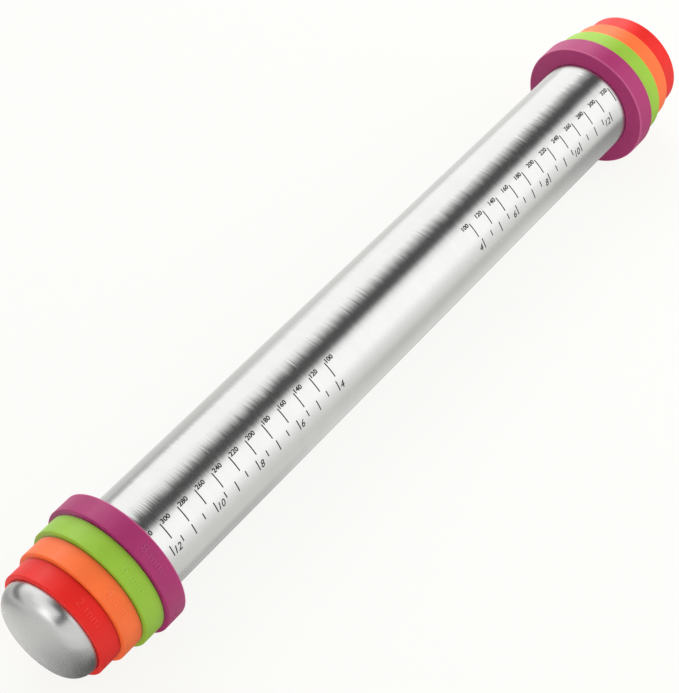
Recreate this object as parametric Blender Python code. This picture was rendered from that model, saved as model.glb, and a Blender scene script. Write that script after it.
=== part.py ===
# Adjustable steel rolling pin with graded thickness rings
#
# A straight hollow steel tube is closed at each end by a pressed, domed cap whose
# spigot plugs into the tube. Four soft rings of falling thickness sit side by side
# on each end of the tube. The rings lift the tube off the worktop, so the dough
# comes out as thick as the largest ring left on. Each ring pulls off over its cap.
#
# Metres, +Z up. The pin lies along X. X = 0 is the middle of the tube, and Z = 0 is
# the worktop under the two largest rings.

import bpy
import bmesh
from math import asin, cos, pi, radians, sin, sqrt, tau
from mathutils import Matrix

MM = 0.001

# General
SIDES = 48                        # flats round every turned piece, one facing straight down
SEAT_GAP = 0.3 * MM               # left between pieces that touch on the real pin
SHARP_EDGE = radians(28)          # edges steeper than this stay crisp when shaded

# Tube
TUBE_RADIUS = 22.4 * MM
TUBE_WALL = 1.2 * MM
TUBE_LENGTH = 391.4 * MM
TUBE_END_CHAMFER = 0.3 * MM

# Pressed end cap
CAP_WALL = 1.2 * MM
CAP_SKIRT = 4.5 * MM              # straight outer wall from the seam to the knuckle
CAP_KNUCKLE_RADIUS = 8.0 * MM
CAP_CROWN_RADIUS = 50.0 * MM
CAP_JOGGLE = 1.4 * MM             # length over which the wall steps in behind the seam
SPIGOT_LENGTH = 12.0 * MM
SPIGOT_LEAD = 0.6 * MM
KNUCKLE_STEPS = 5
CROWN_STEPS = 4

# Thickness rings, from the innermost out: name, wall over the tube, material
RING_8_WALL = 8.0 * MM
RING_6_WALL = 6.0 * MM
RING_4_WALL = 4.0 * MM
RING_2_WALL = 2.0 * MM
RING_WIDTH = 9.7 * MM
RING_EDGE_RADIUS = 0.6 * MM
RING_BORE_CHAMFER = 0.4 * MM
RING_EDGE_STEPS = 2
RINGS = (
    ("ring_8mm", RING_8_WALL, "silicone_purple"),
    ("ring_6mm", RING_6_WALL, "silicone_green"),
    ("ring_4mm", RING_4_WALL, "silicone_orange"),
    ("ring_2mm", RING_2_WALL, "silicone_red"),
)
# How far the outermost ring's face lies outside the end of the cap's straight skirt.
# The rings are pushed on by hand, so the two ends differ a little.
STACK_OVERHANG_LEFT = -1.1 * MM
STACK_OVERHANG_RIGHT = 1.6 * MM

# Sizes worked out from the ones above
tube_bore = TUBE_RADIUS - TUBE_WALL
tube_half = TUBE_LENGTH / 2
seam_x = tube_half + SEAT_GAP     # shoulder of the cap, facing the tube's end
skirt_end_x = seam_x + CAP_SKIRT  # where the cap starts to curve in
ring_bore = TUBE_RADIUS + SEAT_GAP
ring_pitch = RING_WIDTH + SEAT_GAP
flat_share = cos(pi / SIDES)      # distance to a flat over distance to a corner
axis_height = (ring_bore + RING_8_WALL) * flat_share

# Colours as the photograph shows them, roughness, metallic
FINISHES = {
    "tube_steel": ((0.62, 0.62, 0.61), 0.30, 1.0),
    "cap_steel": ((0.60, 0.60, 0.59), 0.26, 1.0),
    "silicone_purple": ((0.40, 0.045, 0.17), 0.48, 0.0),
    "silicone_green": ((0.30, 0.58, 0.045), 0.48, 0.0),
    "silicone_orange": ((0.96, 0.17, 0.045), 0.48, 0.0),
    "silicone_red": ((0.76, 0.025, 0.02), 0.48, 0.0),
}


def clear_scene():
    for obj in list(bpy.data.objects):
        bpy.data.objects.remove(obj, do_unlink=True)


def make_finish(name):
    color, roughness, metallic = FINISHES[name]
    finish = bpy.data.materials.new(name)
    finish.use_nodes = True
    shader = finish.node_tree.nodes["Principled BSDF"]
    shader.inputs["Base Color"].default_value = (*color, 1)
    shader.inputs["Roughness"].default_value = roughness
    shader.inputs["Metallic"].default_value = metallic
    finish.diffuse_color = (*color, 1)
    return finish


def arc(center_x, center_r, radius, start, end, steps):
    """Points (x, r) on an arc, angles measured from +x towards +r."""
    points = []
    for step in range(steps + 1):
        angle = start + (end - start) * step / steps
        points.append((center_x + radius * cos(angle), center_r + radius * sin(angle)))
    return points


def turn(name, outline, closed):
    """Spin an outline of (x, r) points about the X axis into a solid's skin.

    A closed outline makes a ring. An open one starts and ends on the axis.
    """
    bm = bmesh.new()
    corners = [bm.verts.new((x, 0, r)) for x, r in outline]
    pairs = list(zip(corners, corners[1:]))
    if closed:
        pairs.append((corners[-1], corners[0]))
    edges = [bm.edges.new(pair) for pair in pairs]
    bmesh.ops.spin(
        bm, geom=corners + edges, axis=(1, 0, 0), cent=(0, 0, 0),
        angle=tau, steps=SIDES, use_merge=True,
    )
    bmesh.ops.remove_doubles(bm, verts=bm.verts, dist=SEAT_GAP / SIDES)
    half_step = Matrix.Rotation(pi / SIDES, 4, "X")
    bmesh.ops.transform(bm, matrix=half_step, verts=bm.verts)
    bmesh.ops.recalc_face_normals(bm, faces=bm.faces)
    mesh = bpy.data.meshes.new(name)
    bm.to_mesh(mesh)
    bm.free()
    mesh.shade_smooth()
    mesh.set_sharp_from_angle(angle=SHARP_EDGE)
    return mesh


def place(name, mesh, finish, parent, x, turned=False):
    """Put a turned piece on the pin's axis, facing the other way if turned."""
    if not mesh.materials:
        mesh.materials.append(finish)
    obj = bpy.data.objects.new(name, mesh)
    bpy.context.scene.collection.objects.link(obj)
    obj.parent = parent
    obj.location = (x, 0, 0)
    if turned:
        obj.rotation_euler = (0, 0, pi)
    return obj


def tube_outline():
    """Plain tube with its end corners broken inside and out."""
    chamfer = min(TUBE_END_CHAMFER, TUBE_WALL / 3)
    return [
        (-tube_half, TUBE_RADIUS - chamfer),
        (-tube_half + chamfer, TUBE_RADIUS),
        (tube_half - chamfer, TUBE_RADIUS),
        (tube_half, TUBE_RADIUS - chamfer),
        (tube_half, tube_bore + chamfer),
        (tube_half - chamfer, tube_bore),
        (-tube_half + chamfer, tube_bore),
        (-tube_half, tube_bore + chamfer),
    ]


def dome(offset, knuckle_steps, crown_steps):
    """Dished end, set in by an offset: knuckle arc, then crown arc to the axis."""
    knuckle = CAP_KNUCKLE_RADIUS - offset
    crown = CAP_CROWN_RADIUS - offset
    knuckle_r = TUBE_RADIUS - CAP_KNUCKLE_RADIUS
    reach = CAP_CROWN_RADIUS - CAP_KNUCKLE_RADIUS
    crown_x = CAP_SKIRT - sqrt(reach ** 2 - knuckle_r ** 2)
    tangent = asin(knuckle_r / reach)
    points = arc(CAP_SKIRT, knuckle_r, knuckle, pi / 2, tangent, knuckle_steps)
    points += arc(crown_x, 0, crown, tangent, 0, crown_steps)[1:-1]
    points.append((crown_x + crown, 0))
    return points


def cap_outline():
    """Cup of even wall. x = 0 is the shoulder that meets the tube's end."""
    spigot_radius = tube_bore - SEAT_GAP
    spigot_bore = spigot_radius - CAP_WALL
    skirt_bore = TUBE_RADIUS - CAP_WALL
    inside = dome(CAP_WALL, KNUCKLE_STEPS - 1, CROWN_STEPS - 1)
    outside = dome(0, KNUCKLE_STEPS, CROWN_STEPS)
    outline = list(reversed(outside))
    outline += [
        (0, TUBE_RADIUS),
        (0, spigot_radius),
        (SPIGOT_LEAD - SPIGOT_LENGTH, spigot_radius),
        (-SPIGOT_LENGTH, spigot_radius - min(SPIGOT_LEAD, CAP_WALL / 2)),
        (-SPIGOT_LENGTH, spigot_bore),
        (CAP_WALL, spigot_bore),
        (CAP_WALL + CAP_JOGGLE, skirt_bore),
    ]
    outline += inside
    return outline


def ring_outline(wall):
    """Square section with softened rims and a broken bore edge."""
    half = RING_WIDTH / 2
    outer = ring_bore + wall
    rim = min(RING_EDGE_RADIUS, wall / 3, RING_WIDTH / 3)
    chamfer = min(RING_BORE_CHAMFER, wall / 3, RING_WIDTH / 3)
    outline = arc(-half + rim, outer - rim, rim, pi, pi / 2, RING_EDGE_STEPS)
    outline += arc(half - rim, outer - rim, rim, pi / 2, 0, RING_EDGE_STEPS)
    outline += [
        (half, ring_bore + chamfer),
        (half - chamfer, ring_bore),
        (-half + chamfer, ring_bore),
        (-half, ring_bore + chamfer),
    ]
    return outline


def build_tube(finishes, axis):
    mesh = turn("barrel_tube", tube_outline(), closed=True)
    place("barrel_tube", mesh, finishes["tube_steel"], axis, 0)


def build_caps(finishes, axis):
    mesh = turn("end_cap", cap_outline(), closed=False)
    place("end_cap_left", mesh, finishes["cap_steel"], axis, -seam_x, turned=True)
    place("end_cap_right", mesh, finishes["cap_steel"], axis, seam_x)


def build_rings(finishes, axis):
    """Four rings on each end. Each one's origin lies on the axis it slides along."""
    stack_width = len(RINGS) * ring_pitch - SEAT_GAP
    ends = (
        ("left", -1, skirt_end_x + STACK_OVERHANG_LEFT),
        ("right", 1, skirt_end_x + STACK_OVERHANG_RIGHT),
    )
    for index, (name, wall, finish) in enumerate(RINGS):
        mesh = turn(name, ring_outline(wall), closed=True)
        for side, sign, stack_end in ends:
            middle = stack_end - stack_width + index * ring_pitch + RING_WIDTH / 2
            place(f"{name}_{side}", mesh, finishes[finish], axis, sign * middle)


def build():
    clear_scene()
    finishes = {name: make_finish(name) for name in FINISHES}
    axis = bpy.data.objects.new("pin_axis", None)
    axis.location = (0, 0, axis_height)
    bpy.context.scene.collection.objects.link(axis)
    build_tube(finishes, axis)
    build_caps(finishes, axis)
    build_rings(finishes, axis)
    bpy.context.view_layer.update()


build()
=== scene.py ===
# Steel rolling pin with pull-off thickness rings: finishes, engraved scale, studio and camera
# Metres. The pin lies along X, and the worktop it stands on is at Z = 0.
from math import asin, cos, pi, radians, sin, sqrt, tau

import bmesh
import bpy
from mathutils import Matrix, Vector


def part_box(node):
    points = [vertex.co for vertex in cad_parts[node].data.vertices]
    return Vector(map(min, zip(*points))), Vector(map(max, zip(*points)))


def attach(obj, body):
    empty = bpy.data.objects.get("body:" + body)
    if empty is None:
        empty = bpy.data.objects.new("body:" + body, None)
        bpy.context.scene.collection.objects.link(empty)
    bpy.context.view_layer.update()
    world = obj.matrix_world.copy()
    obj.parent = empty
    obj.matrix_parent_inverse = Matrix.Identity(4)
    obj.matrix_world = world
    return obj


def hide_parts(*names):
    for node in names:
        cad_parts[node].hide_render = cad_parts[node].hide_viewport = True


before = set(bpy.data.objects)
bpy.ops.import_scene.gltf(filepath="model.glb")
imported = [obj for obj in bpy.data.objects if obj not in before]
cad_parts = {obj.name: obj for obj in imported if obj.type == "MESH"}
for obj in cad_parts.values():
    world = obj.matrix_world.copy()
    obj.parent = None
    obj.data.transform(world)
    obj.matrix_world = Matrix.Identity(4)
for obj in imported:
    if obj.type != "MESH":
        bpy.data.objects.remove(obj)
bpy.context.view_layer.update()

mm = 0.001
inch = 25.4 * mm
cadSides = 48                      # flats round each turned piece of the frame
weldGap = 0.001 * mm               # points closer than this are joined
cutGap = 0.01 * mm                 # a cut runs through points that lie this close to it
white = (1, 1, 1, 1)


# A turned node's ends, its radius, and the height of the pin's axis, read from the frame
def turnedSize(node):
    low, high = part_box(node)
    radius = (high.z - low.z) / 2 / cos(pi / cadSides)
    return {"left": low.x, "right": high.x, "radius": radius, "axis": (low.z + high.z) / 2}


tubeSize = turnedSize("barrel_tube")
axisHeight = tubeSize["axis"]
tubeRadius = tubeSize["radius"]


# Point on a cylinder round the pin's axis. Turn is measured from the near side, -Y, over the top.
def onCylinder(x, radius, turn):
    return Vector((x, -radius * cos(turn), radius * sin(turn)))


# Points (x, r) along an arc, angles from +x towards +r
def arcPoints(centerX, centerR, radius, start, end, steps):
    points = []
    for step in range(steps + 1):
        angle = start + (end - start) * step / steps
        points.append((centerX + radius * cos(angle), centerR + radius * sin(angle)))
    return points


def newMesh(name, bm):
    mesh = bpy.data.meshes.new(name)
    bm.to_mesh(mesh)
    bm.free()
    return mesh


def newObject(name, data):
    made = bpy.data.objects.new(name, data)
    bpy.context.scene.collection.objects.link(made)
    return made


# Spin an outline about the pin's axis. A closed one makes a ring, an open one ends on the axis.
def turnOutline(name, outline, sides, closed=True):
    bm = bmesh.new()
    corners = [bm.verts.new((x, 0, r)) for x, r in outline]
    pairs = list(zip(corners, corners[1:]))
    if closed:
        pairs.append((corners[-1], corners[0]))
    edges = [bm.edges.new(pair) for pair in pairs]
    bmesh.ops.spin(bm, geom=corners + edges, axis=(1, 0, 0), cent=(0, 0, 0),
                   angle=tau, steps=sides, use_merge=True)
    bmesh.ops.remove_doubles(bm, verts=bm.verts, dist=weldGap)
    bmesh.ops.recalc_face_normals(bm, faces=bm.faces)
    mesh = newMesh(name, bm)
    mesh.shade_smooth()
    return mesh


# Put a mesh on the pin's axis and let it ride on its body
def placePiece(name, mesh, finish, body, x=0, turned=False):
    piece = newObject(name, mesh)
    piece.location = (x, 0, axisHeight)
    piece.rotation_euler = (0, 0, pi if turned else 0)
    if not mesh.materials:
        mesh.materials.append(finish)
    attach(piece, body)
    return piece


# Short ways to make a material and its nodes
def newFinish(name):
    finish = bpy.data.materials.new(name)
    finish.use_nodes = True
    return finish, finish.node_tree.nodes["Principled BSDF"]


def addNode(tree, kind, **settings):
    node = tree.nodes.new(kind)
    for key, value in settings.items():
        setattr(node, key, value)
    return node


def setInputs(node, **values):
    for key, value in values.items():
        node.inputs[key.replace("_", " ")].default_value = value
    return node


def objectPlace(tree):
    return addNode(tree, "ShaderNodeTexCoord").outputs["Object"]


# The place on the piece, split into X, Y and Z
def splitPlace(tree):
    split = addNode(tree, "ShaderNodeSeparateXYZ")
    tree.links.new(objectPlace(tree), split.inputs[0])
    return split.outputs


# Noise in the piece's own coordinates. A grain's scale is per metre along each axis, and crisp
# says how much its finest detail shows.
def addGrain(tree, grain):
    stretch = addNode(tree, "ShaderNodeMapping")
    stretch.inputs["Scale"].default_value = grain["scale"]
    noise = addNode(tree, "ShaderNodeTexNoise")
    setInputs(noise, Scale=1, Detail=grain["detail"], Roughness=grain["crisp"])
    tree.links.new(objectPlace(tree), stretch.inputs["Vector"])
    tree.links.new(stretch.outputs["Vector"], noise.inputs["Vector"])
    return noise.outputs["Fac"]


# Turn a value's range into another. Noise lies mostly between 0.3 and 0.7.
def addRange(tree, value, low, high, fromLow=0.3, fromHigh=0.7, soft=False):
    shape = "SMOOTHSTEP" if soft else "LINEAR"
    remap = addNode(tree, "ShaderNodeMapRange", interpolation_type=shape)
    setInputs(remap, From_Min=fromLow, From_Max=fromHigh, To_Min=low, To_Max=high)
    tree.links.new(value, remap.inputs["Value"])
    return remap.outputs["Result"]


def addMath(tree, operation, first, second):
    node = addNode(tree, "ShaderNodeMath", operation=operation)
    for socket, value in zip(node.inputs, (first, second)):
        if isinstance(value, (int, float)):
            socket.default_value = value
        else:
            tree.links.new(value, socket)
    return node.outputs[0]


def addBlend(tree, factor, colorA, colorB):
    blend = addNode(tree, "ShaderNodeMix", data_type="RGBA")
    for socket in blend.inputs:
        if socket.type == "RGBA":
            color = colorA if socket.name == "A" else colorB
            if isinstance(color, tuple):
                socket.default_value = color
            else:
                tree.links.new(color, socket)
    tree.links.new(factor, blend.inputs["Factor"])
    return next(out for out in blend.outputs if out.type == "RGBA")


def addBump(tree, height, look):
    bump = addNode(tree, "ShaderNodeBump")
    setInputs(bump, Strength=look["strength"], Distance=look["depth"])
    tree.links.new(height, bump.inputs["Height"])
    return bump.outputs["Normal"]


# Metal brushed round the pin, which spreads a reflection along it
def brushRound(tree, shader, stretch):
    quarterTurn = 0.25
    tangent = addNode(tree, "ShaderNodeTangent", direction_type="RADIAL", axis="X")
    tree.links.new(tangent.outputs["Tangent"], shader.inputs["Tangent"])
    setInputs(shader, Metallic=1, Anisotropic=stretch, Anisotropic_Rotation=quarterTurn)
    return tangent.outputs["Tangent"]


# Tip the surface a little round the pin, each brush stroke by its own amount
def addLean(tree, amount, normal, around):
    tipped = addNode(tree, "ShaderNodeVectorMath", operation="SCALE")
    tree.links.new(around, tipped.inputs[0])
    tree.links.new(amount, tipped.inputs["Scale"])
    total = addNode(tree, "ShaderNodeVectorMath", operation="ADD")
    tree.links.new(normal, total.inputs[0])
    tree.links.new(tipped.outputs[0], total.inputs[1])
    unit = addNode(tree, "ShaderNodeVectorMath", operation="NORMALIZE")
    tree.links.new(total.outputs[0], unit.inputs[0])
    return unit.outputs[0]


# The brush lines are fine along the pin and long round it
steel = {
    "dark": (0.555, 0.555, 0.548, 1),
    "light": (0.590, 0.590, 0.583, 1),
    "roughLow": 0.20,
    "roughHigh": 0.235,
    "stretch": 0.50,               # how far the brushing spreads a reflection along the pin
    "hair": {"scale": (4800, 60, 60), "detail": 3, "crisp": 0.6},
    "hairBump": {"strength": 0.05, "depth": 0.01 * mm},
    "stroke": {"scale": (2050, 36, 36), "detail": 3, "crisp": 0.5},
    "band": {"scale": (160, 12, 12), "detail": 3, "crisp": 0.55},
    "group": {"scale": (190, 9, 9), "detail": 2, "crisp": 0.5},     # strokes come in groups
    "groupLow": 0.80,
    "lean": 0.38,                  # how far a brush stroke tips the surface, radians
    "wave": 0.045,                 # and how far a broad band does
    "calm": 0.15,                  # share of the lean that is left on both sides of the tube's top
    "calmNear": (-7.8 * mm, -4.0 * mm),      # Y where it is calm, and where the lean is full
    "calmFar": (10.5 * mm, 5.0 * mm),
}


# How far noise lies from its middle, times an amount
def addSwing(tree, noise, amount):
    middle = 0.5
    return addMath(tree, "MULTIPLY", addMath(tree, "SUBTRACT", noise, middle), amount)


def addCalm(tree):
    across = splitPlace(tree)["Y"]
    near = addRange(tree, across, steel["calm"], 1, *steel["calmNear"], soft=True)
    far = addRange(tree, across, steel["calm"], 1, *steel["calmFar"], soft=True)
    return addMath(tree, "MULTIPLY", near, far)


def brushedSteel():
    finish, shader = newFinish("brushed_steel")
    tree = finish.node_tree
    hair = addGrain(tree, steel["hair"])
    stroke = addGrain(tree, steel["stroke"])
    band = addGrain(tree, steel["band"])
    group = addRange(tree, addGrain(tree, steel["group"]), steel["groupLow"], 1)
    strokeLean = addMath(tree, "MULTIPLY", addSwing(tree, stroke, steel["lean"]), group)
    amount = addMath(tree, "ADD", strokeLean, addSwing(tree, band, steel["wave"]))
    amount = addMath(tree, "MULTIPLY", amount, addCalm(tree))
    around = brushRound(tree, shader, steel["stretch"])
    normal = addLean(tree, amount, addBump(tree, hair, steel["hairBump"]), around)
    tree.links.new(normal, shader.inputs["Normal"])
    # The shade follows the bands by one half and the strokes by the other
    shade = addMath(tree, "ADD", addRange(tree, band, 0, 0.5), addRange(tree, stroke, 0, 0.5))
    color = addBlend(tree, shade, steel["dark"], steel["light"])
    tree.links.new(color, shader.inputs["Base Color"])
    rough = addRange(tree, stroke, steel["roughLow"], steel["roughHigh"])
    tree.links.new(rough, shader.inputs["Roughness"])
    return finish


capSatin = {
    "dark": (0.505, 0.505, 0.50, 1),
    "light": (0.525, 0.525, 0.52, 1),
    "roughLow": 0.26,
    "roughHigh": 0.28,
    "stretch": 0.3,
    "haze": {"scale": (60, 60, 60), "detail": 4, "crisp": 0.5},
    "hair": {"scale": (2200, 160, 160), "detail": 4, "crisp": 0.6},
    "hairBump": {"strength": 0.004, "depth": 0.01 * mm},
}


def satinSteel():
    finish, shader = newFinish("satin_steel")
    tree = finish.node_tree
    haze = addGrain(tree, capSatin["haze"])
    hair = addGrain(tree, capSatin["hair"])
    brushRound(tree, shader, capSatin["stretch"])
    color = addBlend(tree, addRange(tree, haze, 0, 1), capSatin["dark"], capSatin["light"])
    tree.links.new(color, shader.inputs["Base Color"])
    rough = addRange(tree, hair, capSatin["roughLow"], capSatin["roughHigh"])
    tree.links.new(rough, shader.inputs["Roughness"])
    tree.links.new(addBump(tree, hair, capSatin["hairBump"]), shader.inputs["Normal"])
    return finish


silicone = {
    "purple": (0.360, 0.024, 0.134),
    "green": (0.290, 0.515, 0.040),
    "orange": (0.930, 0.162, 0.035),
    "red": (0.750, 0.011, 0.006),
    "mottle": 0.05,                # share by which a colour wavers
    "roughLow": 0.42,
    "roughHigh": 0.52,
    "shine": 0.48,
    "refraction": 1.41,
    "cloud": {"scale": (90, 90, 90), "detail": 3, "crisp": 0.5},
    "pores": {"scale": (2400, 2400, 2400), "detail": 3, "crisp": 0.6},
    "poreBump": {"strength": 0.12, "depth": 0.02 * mm},
    "mirrorFrom": 0.3 * mm,        # the steel shows a ring fully this near to the tube
    "mirrorTo": 2.6 * mm,          # and not at all from here out
    "rimHighlightLift": 1.25,               # painted highlight: how much brighter the purple rings' inner rims look
    "rimHighlightTint": 0.06,               # and how much paler, for the same painted highlight
}


# A colour made brighter by a factor and paler by a tint
def tinted(color, factor, tint=0):
    return tuple(min(1, channel * factor + tint) for channel in color) + (1,)


def softSilicone(name, color):
    finish, shader = newFinish("silicone_" + name)
    tree = finish.node_tree
    cloud = addGrain(tree, silicone["cloud"])
    pores = addGrain(tree, silicone["pores"])
    deep = tinted(color, 1 - silicone["mottle"])
    pale = tinted(color, 1 + silicone["mottle"])
    # Painted highlight: where a point has a rim share noted, the colour is made brighter and
    # paler. This stands in for light caught on the rounded rims and on the figures' raised tops.
    edge = tinted(color, silicone["rimHighlightLift"], silicone["rimHighlightTint"])
    body = addBlend(tree, addRange(tree, cloud, 0, 1), deep, pale)
    rim = addNode(tree, "ShaderNodeAttribute", attribute_name="rim").outputs["Fac"]
    tree.links.new(addBlend(tree, rim, body, edge), shader.inputs["Base Color"])
    rough = addRange(tree, cloud, silicone["roughLow"], silicone["roughHigh"])
    tree.links.new(rough, shader.inputs["Roughness"])
    setInputs(shader, Specular_IOR_Level=silicone["shine"], IOR=silicone["refraction"])
    tree.links.new(addBump(tree, pores, silicone["poreBump"]), shader.inputs["Normal"])
    fadeInMirror(tree, shader)
    return finish


# The steel shows a ring only where the ring comes close to it
def fadeInMirror(tree, shader):
    across = addNode(tree, "ShaderNodeVectorMath", operation="MULTIPLY")
    across.inputs[1].default_value = (0, 1, 1)
    tree.links.new(objectPlace(tree), across.inputs[0])
    reach = addNode(tree, "ShaderNodeVectorMath", operation="LENGTH")
    tree.links.new(across.outputs[0], reach.inputs[0])
    start = tubeRadius + silicone["mirrorFrom"]
    end = tubeRadius + silicone["mirrorTo"]
    gone = addRange(tree, reach.outputs["Value"], 0, 1, start, end, soft=True)
    mirrored = addNode(tree, "ShaderNodeLightPath").outputs["Is Glossy Ray"]
    clear = addNode(tree, "ShaderNodeBsdfTransparent")
    mix = addNode(tree, "ShaderNodeMixShader")
    tree.links.new(addMath(tree, "MULTIPLY", gone, mirrored), mix.inputs[0])
    tree.links.new(shader.outputs[0], mix.inputs[1])
    tree.links.new(clear.outputs[0], mix.inputs[2])
    tree.links.new(mix.outputs[0], tree.nodes["Material Output"].inputs["Surface"])


ink = {
    "dark": (0.012, 0.012, 0.012, 1),
    "light": (0.035, 0.035, 0.035, 1),
    "roughLow": 0.55,
    "roughHigh": 0.75,
    "shine": 0.15,
    "soot": {"scale": (3000, 3000, 3000), "detail": 3, "crisp": 0.6},
}


def engravedBlack():
    finish, shader = newFinish("engraved_black")
    tree = finish.node_tree
    soot = addGrain(tree, ink["soot"])
    color = addBlend(tree, addRange(tree, soot, 0, 1), ink["dark"], ink["light"])
    tree.links.new(color, shader.inputs["Base Color"])
    rough = addRange(tree, soot, ink["roughLow"], ink["roughHigh"])
    tree.links.new(rough, shader.inputs["Roughness"])
    setInputs(shader, Specular_IOR_Level=ink["shine"])
    return finish


tubeSteel = brushedSteel()
capSteel = satinSteel()
scaleInk = engravedBlack()
print("finishes made")

# Tube: a plain steel pipe with rounded end corners
tube = {"wall": 1.2 * mm, "corner": 0.3 * mm, "cornerSteps": 3, "sides": 256, "stations": 16}


def tubeOutline():
    half = (tubeSize["right"] - tubeSize["left"]) / 2
    corner, steps = tube["corner"], tube["cornerSteps"]
    outer = tubeRadius - corner
    inner = tubeRadius - tube["wall"] + corner
    outline = arcPoints(-half + corner, outer, corner, pi, pi / 2, steps)
    for step in range(1, tube["stations"]):
        outline.append((-half + 2 * half * step / tube["stations"], tubeRadius))
    outline += arcPoints(half - corner, outer, corner, pi / 2, 0, steps)
    outline += arcPoints(half - corner, inner, corner, 0, -pi / 2, steps)
    outline += arcPoints(-half + corner, inner, corner, -pi / 2, -pi, steps)
    return outline


def makeTube():
    mesh = turnOutline("steel_tube", tubeOutline(), tube["sides"])
    piece = placePiece("steel_tube", mesh, tubeSteel, "pin")
    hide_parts("barrel_tube")


makeTube()

# End cap: pressed cup with a dished end, its spigot inside the tube
cap = {
    "wall": 1.2 * mm,
    "seat": 0.3 * mm,              # gap between cap and tube, at the seam and in the bore
    "skirt": 4.5 * mm,             # straight wall from the seam to the knuckle
    "knuckle": 8.0 * mm,           # radius where the wall turns over into the crown
    "crown": 50.0 * mm,            # radius of the shallow dome
    "spigot": 12.0 * mm,           # length that plugs into the tube
    "joggle": 1.4 * mm,            # length over which the wall steps in behind the seam
    "lead": 0.6 * mm,              # taper at the spigot's end
    "seamBreak": 0.15 * mm,
    "outsideSteps": (16, 18),      # round the knuckle, and over the crown
    "insideSteps": (10, 12),
    "sides": 192,
}


# Dished end set in by an offset: knuckle arc, then crown arc to the axis
def domePoints(offset, knuckleSteps, crownSteps):
    knuckle = cap["knuckle"] - offset
    crown = cap["crown"] - offset
    knuckleR = tubeRadius - cap["knuckle"]
    reach = cap["crown"] - cap["knuckle"]
    crownX = cap["skirt"] - sqrt(reach ** 2 - knuckleR ** 2)
    tangent = asin(knuckleR / reach)
    points = arcPoints(cap["skirt"], knuckleR, knuckle, pi / 2, tangent, knuckleSteps)
    points += arcPoints(crownX, 0, crown, tangent, 0, crownSteps)[1:-1]
    points.append((crownX + crown, 0))
    return points


def capOutline():
    spigotRadius = tubeRadius - tube["wall"] - cap["seat"]
    spigotBore = spigotRadius - cap["wall"]
    outline = list(reversed(domePoints(0, *cap["outsideSteps"])))
    outline += [
        (cap["seamBreak"], tubeRadius),
        (0, tubeRadius - cap["seamBreak"]),
        (0, spigotRadius),
        (cap["lead"] - cap["spigot"], spigotRadius),
        (-cap["spigot"], spigotRadius - cap["wall"] / 2),
        (-cap["spigot"], spigotBore),
        (cap["wall"], spigotBore),
        (cap["wall"] + cap["joggle"], tubeRadius - cap["wall"]),
    ]
    return outline + domePoints(cap["wall"], *cap["insideSteps"])


def makeCaps():
    mesh = turnOutline("end_cap", capOutline(), cap["sides"], closed=False)
    for side, sign in (("left", -1), ("right", 1)):
        seam = sign * (tubeSize["right"] + cap["seat"])
        piece = placePiece("domed_cap_" + side, mesh, capSteel, "pin", seam, turned=sign < 0)
        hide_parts("end_cap_" + side)


makeCaps()
print("tube and caps made")

# Thickness rings: square section, softened rims, a raised size mark on the outside
rings = {
    "ring_8mm": {"silicone": "purple", "mark": "8 mm", "markTurn": radians(47), "paintedRimHighlight": True},
    "ring_6mm": {"silicone": "green", "mark": "6 mm", "markTurn": radians(45)},
    "ring_4mm": {"silicone": "orange", "mark": "4 mm", "markTurn": radians(39)},
    "ring_2mm": {"silicone": "red", "mark": "2 mm", "markTurn": radians(49)},
}
ringShape = {
    "clearance": 0.08 * mm,
    "rim": 0.45 * mm,
    "rimSteps": 7,
    "rimHighlightMargin": 1.1,              # the painted highlight on the rim reaches just past the round, to its last points
    "lip": 0.2 * mm,               # rounding of the bore's edges
    "lipSteps": 4,
    "support": 0.25 * mm,          # narrow faces beside the rounds keep the flats flat when shaded
    "sides": 192,
}


def ringOutline(width, outer):
    half = width / 2
    bore = tubeRadius + ringShape["clearance"]
    rim = min(ringShape["rim"], (outer - bore) / 3)
    lip = min(ringShape["lip"], (outer - bore) / 3)
    support = ringShape["support"]
    rimSteps, lipSteps = ringShape["rimSteps"], ringShape["lipSteps"]
    outline = [(-half, outer - rim - support / 2)]
    outline += arcPoints(-half + rim, outer - rim, rim, pi, pi / 2, rimSteps)
    outline += [(-half + rim + support, outer), (half - rim - support, outer)]
    outline += arcPoints(half - rim, outer - rim, rim, pi / 2, 0, rimSteps)
    outline += [(half, outer - rim - support / 2), (half, bore + lip + support / 2)]
    outline += arcPoints(half - lip, bore + lip, lip, 0, -pi / 2, lipSteps)
    outline += arcPoints(-half + lip, bore + lip, lip, -pi / 2, -pi, lipSteps)
    outline += [(-half, bore + lip + support / 2)]
    return outline


# Lettering, as thin solids that are bent later on to a cylinder. Each look of it has a height,
# a squeeze in width, a slant, and a weight that makes the strokes bolder.
lettering = {
    "curveSteps": 3,
    "cuts": 4,                     # parts that a letter's height is cut into, to follow the round
    "weldGap": 0.0005,             # of the letters' height, before they are sized
    "sharpest": 0.5,               # keeps a thickened corner from running out to a spike
}


# Make flat letters bolder by moving each point of their outlines outwards
def thicken(letters, amount):
    sides = {vert: [] for vert in letters.verts}
    for edge in letters.edges:
        if edge.is_boundary:
            start, end = (vert.co for vert in edge.verts)
            outward = Vector((end.y - start.y, start.x - end.x, 0)).normalized()
            if outward.dot(edge.link_faces[0].calc_center_median() - start) > 0:
                outward.negate()
            for vert in edge.verts:
                sides[vert].append(outward)
    for vert, (first, second) in sides.items():
        vert.co += (first + second) * amount / max(1 + first.dot(second), lettering["sharpest"])


# Cut a mesh where it has to bend
def cutAcross(bm, place, direction):
    everything = list(bm.verts) + list(bm.edges) + list(bm.faces)
    bmesh.ops.bisect_plane(bm, geom=everything, dist=cutGap, plane_co=place, plane_no=direction)


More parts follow.
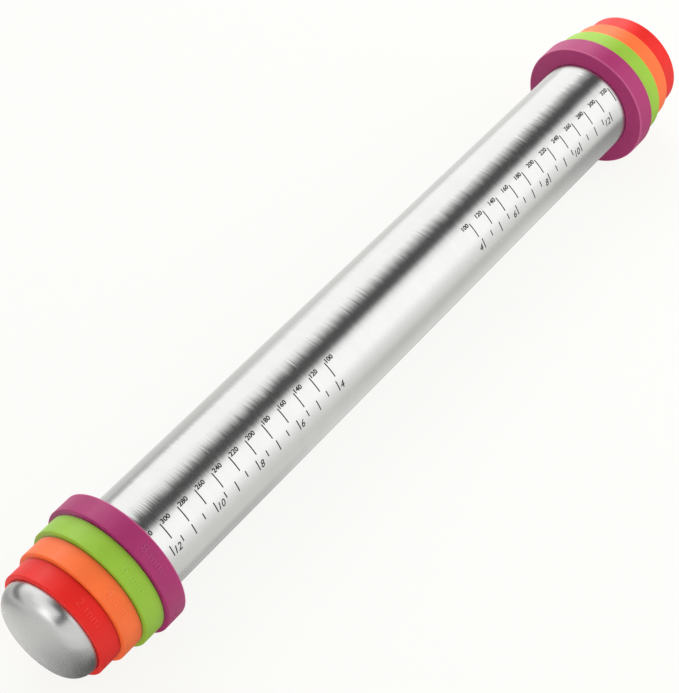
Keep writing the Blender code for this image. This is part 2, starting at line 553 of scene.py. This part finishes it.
# Flat words as a thin solid whose letters stand on the line y = 0
def textSolid(words, look, thickness):
    height = look["height"]
    curve = bpy.data.curves.new("letters", "FONT")
    curve.body = words
    curve.size = 1
    curve.shear = look["slant"]
    curve.resolution_u = lettering["curveSteps"]
    holder = newObject("letters", curve)
    bpy.context.view_layer.update()
    bm = bmesh.new()
    bm.from_mesh(holder.evaluated_get(bpy.context.evaluated_depsgraph_get()).to_mesh())
    bpy.data.objects.remove(holder, do_unlink=True)
    bpy.data.curves.remove(curve)
    bmesh.ops.remove_doubles(bm, verts=bm.verts, dist=lettering["weldGap"])
    thicken(bm, look["weight"])
    foot = min(vert.co.y for vert in bm.verts)
    tall = max(vert.co.y for vert in bm.verts) - foot
    for vert in bm.verts:
        vert.co.x *= height / tall * look["squeeze"]
        vert.co.y = (vert.co.y - foot) * height / tall
    for step in range(1, lettering["cuts"]):
        cutAcross(bm, (0, height * step / lettering["cuts"], 0), (0, 1, 0))
    lifted = bmesh.ops.extrude_face_region(bm, geom=list(bm.faces))
    for item in lifted["geom"]:
        if isinstance(item, bmesh.types.BMVert):
            item.co.z += thickness
    bmesh.ops.recalc_face_normals(bm, faces=bm.faces)
    return bm


def joinInto(target, source):
    made = newMesh("part", source)
    target.from_mesh(made)
    bpy.data.meshes.remove(made)


# Scale engraved on the tube: each mark lies at half its value from the middle of the pin
scale = {
    "depth": 0.03 * mm,            # how far the black filling stands off the steel
    "lineWidth": 0.50 * mm,
    "lineCuts": 8,
    "lift": {"left": radians(1.5), "right": radians(-0.5)},    # the halves are etched one by one
    "millimetres": range(100, 321, 20),
    "mmTop": radians(58.9),
    "mmBottom": radians(40.6),
    "mmFigures": {"height": 2.1 * mm, "squeeze": 1.13, "slant": 0, "weight": 0.032,
                  "base": radians(56.4), "gap": 0.9 * mm},
    "inches": (4, 12),
    "inchShift": 0.28 * mm,        # the inch lines lie this much further out
    "inchTop": radians(36.5),
    "inchBottom": radians(24.6),
    "halfInchBottom": radians(29.4),
    "inchFigures": {"height": 3.1 * mm, "squeeze": 0.98, "slant": 0.25, "weight": 0.008,
                    "base": radians(24.6), "gap": 1.2 * mm},
}


# One flat line of the scale, from y = 0 to its length
def lineSolid(x, length):
    bm = bmesh.new()
    half = scale["lineWidth"] / 2
    top = scale["depth"]
    rows = []
    for step in range(scale["lineCuts"] + 1):
        y = length * step / scale["lineCuts"]
        rows.append([bm.verts.new((x + side * half, y, z)) for side, z in
                     ((-1, 0), (1, 0), (1, top), (-1, top))])
    for near, far in zip(rows, rows[1:]):
        for index in range(len(near)):
            after = (index + 1) % len(near)
            bm.faces.new((near[index], near[after], far[after], far[index]))
    bm.faces.new(rows[0])
    bm.faces.new(list(reversed(rows[-1])))
    bmesh.ops.recalc_face_normals(bm, faces=bm.faces)
    return bm


def bendOntoTube(bm, baseTurn):
    for vert in bm.verts:
        turn = baseTurn + vert.co.y / tubeRadius
        vert.co = onCylinder(vert.co.x, tubeRadius + vert.co.z, turn)


def addTick(target, x, bottom, top):
    tick = lineSolid(x, (top - bottom) * tubeRadius)
    bendOntoTube(tick, bottom)
    joinInto(target, tick)


# Figures stand beside their line, on the side of the pin's middle
def addFigures(target, words, x, side, lift, look):
    figures = textSolid(words, look, scale["depth"])
    low = min(vert.co.x for vert in figures.verts)
    high = max(vert.co.x for vert in figures.verts)
    shift = x + look["gap"] - low if side < 0 else x - look["gap"] - high
    for vert in figures.verts:
        vert.co.x += shift
    bendOntoTube(figures, look["base"] + lift)
    joinInto(target, figures)


def makeScale():
    for side, word in ((-1, "left"), (1, "right")):
        lift = scale["lift"][word]
        metric = bmesh.new()
        for value in scale["millimetres"]:
            x = side * value / 2 * mm
            addTick(metric, x, scale["mmBottom"] + lift, scale["mmTop"] + lift)
            addFigures(metric, str(value), x, side, lift, scale["mmFigures"])
        name = "millimetre_scale_" + word
        placePiece(name, newMesh(name, metric), scaleInk, "pin")
        imperial = bmesh.new()
        first, last = scale["inches"]
        for half in range(2 * first, 2 * last + 1):
            x = side * (half / 2 * inch / 2 + scale["inchShift"])
            bottom = scale["halfInchBottom"] if half % 2 else scale["inchBottom"]
            addTick(imperial, x, bottom + lift, scale["inchTop"] + lift)
            if half % 4 == 0:                        # every second inch has its figure
                addFigures(imperial, str(half // 2), x, side, lift, scale["inchFigures"])
        name = "inch_scale_" + word
        placePiece(name, newMesh(name, imperial), scaleInk, "pin")


makeScale()
print("scale engraved")

sizeMark = {
    "height": 3.6 * mm,
    "squeeze": 1.05,
    "slant": 0,
    "weight": 0,
    "raise": 0.20 * mm,
    "sink": 0.05 * mm,
    "cuts": 24,                    # parts that the words' length is cut into, to follow the round
    "cleanGap": 0.003 * mm,        # points left closer than this by the cuts are joined
    "pale": 0.35,                  # share of the painted highlight, the rim's lighter colour, on top of the figures
    "rightTurn": radians(230),     # the right-hand rings carry theirs on the far side
}


# Note on each point how much of the painted highlight, the rim's lighter colour, it takes
def noteRim(mesh, share):
    layer = mesh.attributes.new("rim", "FLOAT", "POINT")
    for vert, note in zip(mesh.vertices, layer.data):
        note.value = share(vert.co.x, sqrt(vert.co.y ** 2 + vert.co.z ** 2))


# Raised figures on a ring's outside. They read round the ring, tops towards the pin's middle.
def makeSizeMark(node, ring, side, finish, outer, x):
    height, sink = sizeMark["height"], sizeMark["sink"]
    letters = textSolid(ring["mark"], sizeMark, sizeMark["raise"] + sink)
    long = max(vert.co.x for vert in letters.verts)
    for cut in range(1, sizeMark["cuts"]):
        cutAcross(letters, (long * cut / sizeMark["cuts"], 0, 0), (1, 0, 0))
    bmesh.ops.remove_doubles(letters, verts=letters.verts, dist=sizeMark["cleanGap"])
    sign = 1 if side == "left" else -1
    middleTurn = ring["markTurn"] if side == "left" else sizeMark["rightTurn"]
    for vert in letters.verts:
        turn = middleTurn - sign * (vert.co.x - long / 2) / outer
        across = sign * (vert.co.y - height / 2)
        vert.co = onCylinder(across, outer - sink + vert.co.z, turn)
    name = "mark_" + node
    mesh = newMesh(name, letters)
    # Painted highlight: the figures' raised tops take part of the rim's lighter colour
    top = outer + sizeMark["raise"] / 2
    noteRim(mesh, lambda along, reach: sizeMark["pale"] if reach > top else 0)
    return placePiece(name, mesh, finish, node, x)


# Painted highlight on the rounded rim that faces the middle of the pin
def noteInnerRim(mesh, width, outer, inward):
    rim = ringShape["rim"] * ringShape["rimHighlightMargin"]

    def share(along, reach):
        return 1 if outer - reach < rim and width / 2 - along * inward < rim else 0

    noteRim(mesh, share)


softPieces = bpy.data.collections.new("soft_pieces")


def makeRings():
    for name, ring in rings.items():
        finish = softSilicone(ring["silicone"], silicone[ring["silicone"]])
        for side in ("left", "right"):
            node = name + "_" + side
            size = turnedSize(node)
            outer = size["radius"]
            middle = (size["left"] + size["right"]) / 2
            width = size["right"] - size["left"]
            mesh = turnOutline(node + "_soft", ringOutline(width, outer), ringShape["sides"])
            # Only the purple rings take the painted highlight on their inner rims
            if ring.get("paintedRimHighlight", False):
                noteInnerRim(mesh, width, outer, 1 if side == "left" else -1)
            piece = placePiece("soft_" + node, mesh, finish, node, middle)
            softPieces.objects.link(piece)
            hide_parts(node)
            mark = makeSizeMark(node, ring, side, finish, outer, middle)
            softPieces.objects.link(mark)
            mark.visible_glossy = False


makeRings()
print("rings made")

# Studio: pale worktop, soft lamps, and reflector cards round the pin
studio = {
    "floor": (0.84, 0.84, 0.82, 1),
    "floorShine": (1, 1, 0.978, 1),
    "floorGlow": 0.87,             # share of the shine where the camera or a reflection sees it
    "floorSize": 8.0,
    "floorDrop": 0.1 * mm,         # so that the rings don't lie in the floor's own plane
    "floorCells": 8,
    "ambient": 0.60,               # the room's own light on matt surfaces
}


# 1 for what the camera sees, directly, in a reflection or through glass
def rayIsSeen(tree):
    ray = addNode(tree, "ShaderNodeLightPath").outputs
    first = addMath(tree, "MAXIMUM", ray["Is Camera Ray"], ray["Is Glossy Ray"])
    return addMath(tree, "MAXIMUM", first, ray["Is Transmission Ray"])


# A material or world that mixes two shaders by a factor
def mixShaders(tree, factor, first, second, outKind):
    mix = addNode(tree, "ShaderNodeMixShader")
    out = addNode(tree, outKind)
    tree.links.new(factor, mix.inputs[0])
    tree.links.new(first.outputs[0], mix.inputs[1])
    tree.links.new(second.outputs[0], mix.inputs[2])
    tree.links.new(mix.outputs[0], out.inputs["Surface"])


# A flat square with a material that has no nodes yet
def flatSquare(name, finishName, side, cells):
    bm = bmesh.new()
    bmesh.ops.create_grid(bm, x_segments=cells, y_segments=cells, size=side / 2)
    mesh = newMesh(name, bm)
    finish = bpy.data.materials.new(finishName)
    finish.use_nodes = True
    finish.node_tree.nodes.clear()
    mesh.materials.append(finish)
    return newObject(name, mesh), finish


def makeFloor():
    floor, finish = flatSquare("worktop", "worktop_white",
                               side=studio["floorSize"], cells=studio["floorCells"])
    floor.location.z = -studio["floorDrop"]
    tree = finish.node_tree
    diffuse = setInputs(addNode(tree, "ShaderNodeBsdfDiffuse"), Color=studio["floor"])
    glow = setInputs(addNode(tree, "ShaderNodeEmission"), Color=studio["floorShine"], Strength=1)
    share = addMath(tree, "MULTIPLY", rayIsSeen(tree), studio["floorGlow"])
    mixShaders(tree, share, diffuse, glow, "ShaderNodeOutputMaterial")


def makeWorld():
    world = bpy.data.worlds.new("studio")
    bpy.context.scene.world = world
    world.use_nodes = True
    tree = world.node_tree
    tree.nodes.clear()
    dim = addNode(tree, "ShaderNodeBackground")
    setInputs(dim, Color=white, Strength=studio["ambient"])
    bright = setInputs(addNode(tree, "ShaderNodeBackground"), Color=white, Strength=1)
    mixShaders(tree, rayIsSeen(tree), dim, bright, "ShaderNodeOutputWorld")


# Lamps light the matt surfaces, and the gloss lamp is seen only as a highlight. A level is what
# a matt white card at the pin would show if it faced the lamp. Some lamps reach the rings alone.
lamps = {
    "back": {"place": (0.62, 0.75, 1.0), "size": (0.9, 0.9), "level": 0.40},
    "front": {"place": (0.50, -0.55, 0.45), "size": (0.6, 0.6), "level": 0.40},
    "left": {"place": (-1.2, -0.25, 0.14), "size": (0.5, 0.5), "level": 0.33},
    "low": {"place": (0.55, 0.70, 0.24), "size": (0.7, 0.2), "level": 0.42, "ringsOnly": True},
    "gloss": {"place": (0.75, 1.0, 0.36), "size": (1.5, 0.7), "level": 0.98, "ringsOnly": True,
              "gloss": True},
}


# Turn a lamp or camera to look at a place, and say how it gets there
def aimAt(looker, place):
    reach = Vector(place) - looker.location
    looker.rotation_mode = "QUATERNION"
    looker.rotation_quaternion = reach.to_track_quat("-Z", "Y")
    return reach


def makeLamp(name, look):
    data = bpy.data.lights.new("lamp_" + name, "AREA")
    data.shape = "RECTANGLE"
    data.size, data.size_y = look["size"]
    lamp = newObject("lamp_" + name, data)
    lamp.location = look["place"]
    reach = aimAt(lamp, (0, 0, axisHeight))
    # Watts that give this level at this distance
    data.energy = look["level"] * pi ** 2 * reach.length_squared
    gloss = look.get("gloss", False)
    lamp.visible_camera = False
    lamp.visible_glossy = gloss
    lamp.visible_diffuse = not gloss
    if look.get("ringsOnly", False):
        lamp.light_linking.receiver_collection = softPieces


# Cards are seen only in reflections. Each starts at its foot and leans up and away from there,
# and fades out towards its ends and towards its low and high edges, by shares of its size.
# Glow is how bright a card is, and cover is how much it hides of what lies behind it.
upright = radians(90)
outwards = radians(120)            # leans over, away from the pin
# The dim cards that lie flat on the floor are painted shadow. Only the steel sees them, as a
# darker floor round the pin's foot.
cards = {
    "near": {"foot": (0.93, -0.0615, 0.008), "length": 2.2, "width": 1.2, "lean": outwards,
             "glow": 1.64, "ends": 0.02, "low": 0.067, "high": 0.15},
    "nearLeft": {"foot": (-0.46, -0.0600, 0.008), "length": 0.66, "width": 1.2, "lean": outwards,
                 "glow": 1.15, "ends": 0.10, "low": 0.067, "high": 0.15},
    "far": {"foot": (0.66, 0.60, 0.001), "length": 2.4, "width": 1.08, "lean": upright,
            "glow": 1.58, "ends": 0.22, "low": 0.03, "high": 0.15},
    "left": {"foot": (-0.72, 0.05, 0.16), "length": 0.50, "width": 1.0, "lean": radians(80),
             "turn": radians(80), "glow": 2.1, "ends": 0.35, "low": 0.20, "high": 0.25},
    "top": {"foot": (0.40, -1.60, 1.6), "length": 4.4, "width": 3.2,
            "glow": 1.40, "ends": 0.10, "low": 0.10, "high": 0.10},
    "gap": {"foot": (0.60, -0.1125, 0.33), "length": 1.72, "width": 0.33, "turn": radians(8),
            "glow": 0.10, "ends": 0.06, "low": 0.32, "high": 0.47},
    "gapEdge": {"foot": (0.62, 0.095, 0.335), "length": 1.2, "width": 0.16, "turn": radians(8),
                "glow": 0.08, "cover": 0.38, "ends": 0.50, "low": 0.25, "high": 0.35},
    "domeGap": {"foot": (-0.48, -0.37, 0.34), "length": 1.08, "width": 0.26, "lean": radians(35),
                "glow": 0.05, "ends": 0.22, "low": 0.18, "high": 0.20},
    "farShade": {"foot": (-0.22, 0.45, 0.0005), "length": 1.24, "width": 0.148, "lean": upright,
                 "glow": 0.05, "cover": 0.62, "ends": 0.35, "low": 0.05, "high": 0.16},
    "domeFarShade": {"foot": (-0.26, 0.40, 0.0006), "length": 0.52, "width": 0.14,
                     "lean": upright, "glow": 0.05, "cover": 0.70,
                     "ends": 0.20, "low": 0.05, "high": 0.35},
    # painted shadow on the floor on the far side of the dome
    "domeFarFloorShade": {"foot": (-0.245, 0.040, 0.0011), "length": 0.15, "width": 0.11,
                "glow": 0.10, "cover": 0.42, "ends": 0.30, "low": 0.30, "high": 0.35},
    # painted shadow on the floor on the far side of the left half of the pin
    "farFloorShade": {"foot": (-0.25, 0.03, 0.0015), "length": 0.80, "width": 0.50,
                "glow": 0.10, "cover": 0.12, "ends": 0.30, "low": 0.20, "high": 0.10},
    "underShade": {"foot": (0.0, -0.026, 0.0011), "length": 0.43, "width": 0.05,
                   "glow": 0.10, "cover": 0.42, "ends": 0.05, "low": 0.35, "high": 0.30},
    "midShade": {"foot": (0.065, -0.105, 0.0015), "length": 0.24, "width": 0.075,
                 "glow": 0.10, "cover": 0.17, "ends": 0.35, "low": 0.40, "high": 0.40},
    "leftShade": {"foot": (-0.15, -0.050, 0.0013), "length": 0.22, "width": 0.045,
                  "glow": 0.10, "cover": 0.30, "ends": 0.30, "low": 0.40, "high": 0.40},
    "rightShade": {"foot": (0.21, -0.120, 0.0014), "length": 0.22, "width": 0.14,
                   "glow": 0.10, "cover": 0.68, "ends": 0.50, "low": 0.45, "high": 0.14},
    "domeShadow": {"foot": (-0.200, -0.085, 0.001), "length": 0.15, "width": 0.108,
                   "glow": 0.14, "cover": 0.73, "ends": 0.5, "low": 0.5, "high": 0.4},
    "stackShadow": {"foot": (-0.180, -0.070, 0.0012), "length": 0.07, "width": 0.12,
                    "glow": 0.14, "cover": 0.62, "ends": 0.3, "low": 0.3, "high": 0.3},
    # painted shadow on the floor on the near side of the dome
    "domeFloorShade": {"foot": (-0.235, -0.19, 0.002), "length": 0.19, "width": 0.22,
                 "glow": 0.10, "cover": 0.5, "ends": 0.4, "low": 0.4, "high": 0.4},
}


# How much of a card shows at each place on it
def addFade(tree, look):
    edge = 0.5                     # a card is one metre square before it gets its size
    place = splitPlace(tree)
    along = addMath(tree, "ABSOLUTE", place["X"], 0)
    ends = addRange(tree, along, 1, 0, edge - look["ends"], edge, soft=True)
    low = addRange(tree, place["Y"], 0, 1, -edge, look["low"] - edge, soft=True)
    high = addRange(tree, place["Y"], 1, 0, edge - look["high"], edge, soft=True)
    shown = addMath(tree, "MULTIPLY", addMath(tree, "MULTIPLY", ends, low), high)
    return addMath(tree, "MULTIPLY", shown, look.get("cover", 1))


def makeCard(name, look):
    card, finish = flatSquare("card_" + name, "card_" + name, side=1, cells=2)
    card.scale = (look["length"], look["width"], 1)
    card.rotation_euler = (look.get("lean", 0), 0, look.get("turn", 0))
    up = card.rotation_euler.to_matrix() @ Vector((0, look["width"] / 2, 0))
    card.location = Vector(look["foot"]) + up
    finish.cycles.emission_sampling = "NONE"
    tree = finish.node_tree
    shown = addFade(tree, look)
    clear = addNode(tree, "ShaderNodeBsdfTransparent")
    glow = setInputs(addNode(tree, "ShaderNodeEmission"), Color=white, Strength=look["glow"])
    mixShaders(tree, shown, clear, glow, "ShaderNodeOutputMaterial")
    card.visible_camera = False
    card.visible_diffuse = False
    card.visible_shadow = False


makeFloor()
makeWorld()
for lampName, lampLook in lamps.items():
    makeLamp(lampName, lampLook)
for cardName, cardLook in cards.items():
    makeCard(cardName, cardLook)
print("studio lit")

# Camera at the photograph's place, level with the horizon and aimed at the pin's axis
camera = {
    "place": (-0.43784, -0.31848, 0.63133),
    "aim": (-0.0260, -0.00025),    # X and Y, at the height of the axis
    "lens": 98.77,
    "sensor": 36,
    "nearest": 0.01,
    "furthest": 100,
}


def makeCamera():
    data = bpy.data.cameras.new("camera")
    data.lens = camera["lens"]
    data.sensor_width = camera["sensor"]
    data.clip_start = camera["nearest"]
    data.clip_end = camera["furthest"]
    eye = newObject("camera", data)
    eye.location = camera["place"]
    aimAt(eye, (*camera["aim"], axisHeight))
    bpy.context.scene.camera = eye


makeCamera()
bpy.context.scene.view_settings.view_transform = "Standard"
